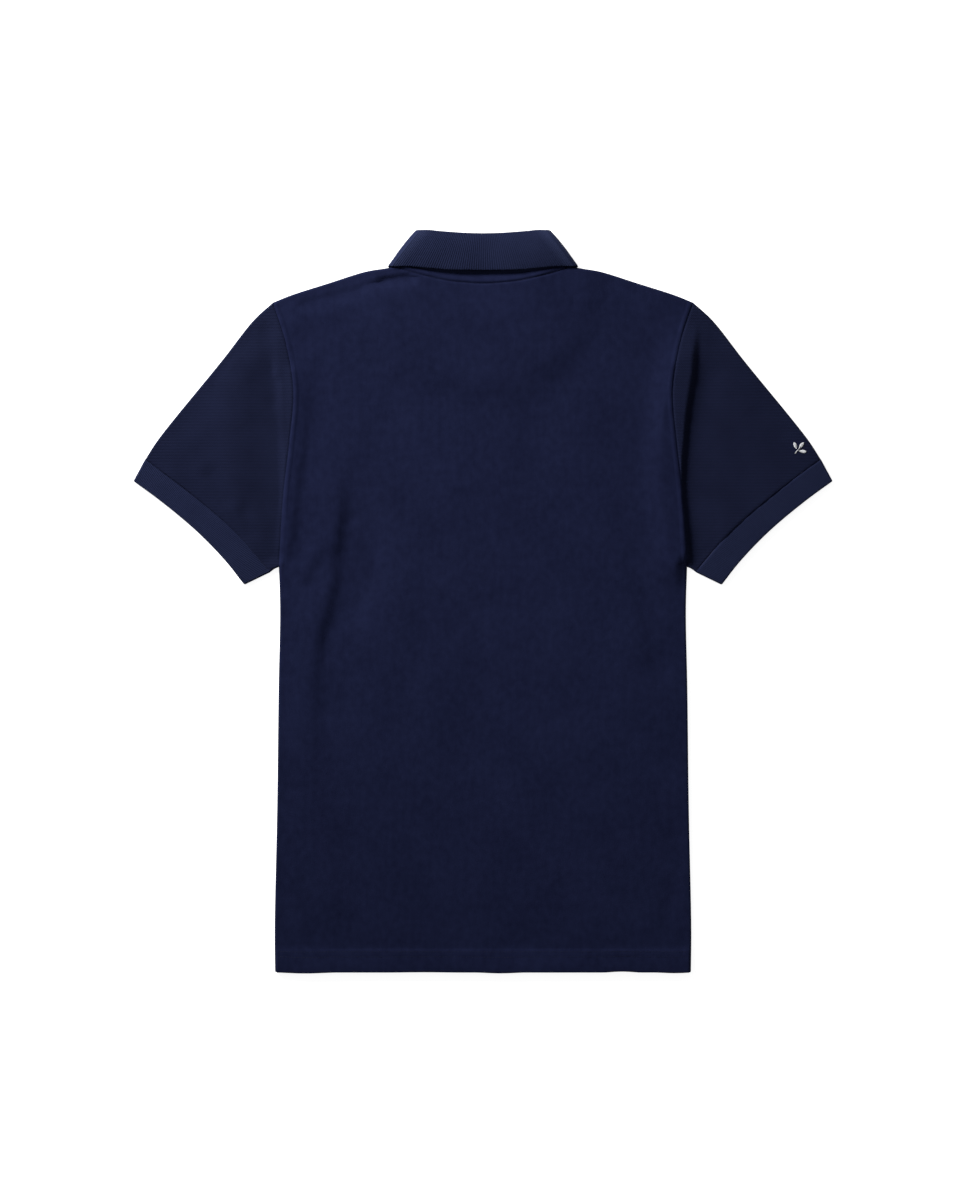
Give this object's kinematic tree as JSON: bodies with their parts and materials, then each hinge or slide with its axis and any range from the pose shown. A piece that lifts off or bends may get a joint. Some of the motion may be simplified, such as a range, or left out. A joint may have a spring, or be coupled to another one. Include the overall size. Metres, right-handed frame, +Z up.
{
  "type": "polo shirt",
  "caption": "Short-sleeved knitted polo shirt laid flat on its front, with its back, folded rib collar, short sleeves and rib cuffs showing.",
  "frame": {"origin": "centre of the bounding box at the surface that the shirt lies on", "axes": "+Y from the hem to the collar, +X to the right seen from above, +Z up from the surface, out of the shirt's back"},
  "size_m": [0.7118, 0.7558, 0.011],
  "materials": {
    "body_knit": "fine cotton knit, matt",
    "sleeve_knit": "fine pique knit, matt",
    "rib_knit": "flat-knit rib, matt",
    "button_plastic": "polished",
    "white_thread": "lustrous embroidery thread"
  },
  "bodies": {
    "root": {"back_panel": "body_knit", "front_panel": "body_knit", "sleeve_left": "sleeve_knit", "sleeve_right": "sleeve_knit", "cuff_left": "rib_knit", "cuff_right": "rib_knit", "collar": "rib_knit", "placket_upper": "body_knit", "placket_lower": "body_knit", "button_1": "button_plastic", "button_2": "button_plastic", "button_3": "button_plastic"}
  },
  "joints": []
}
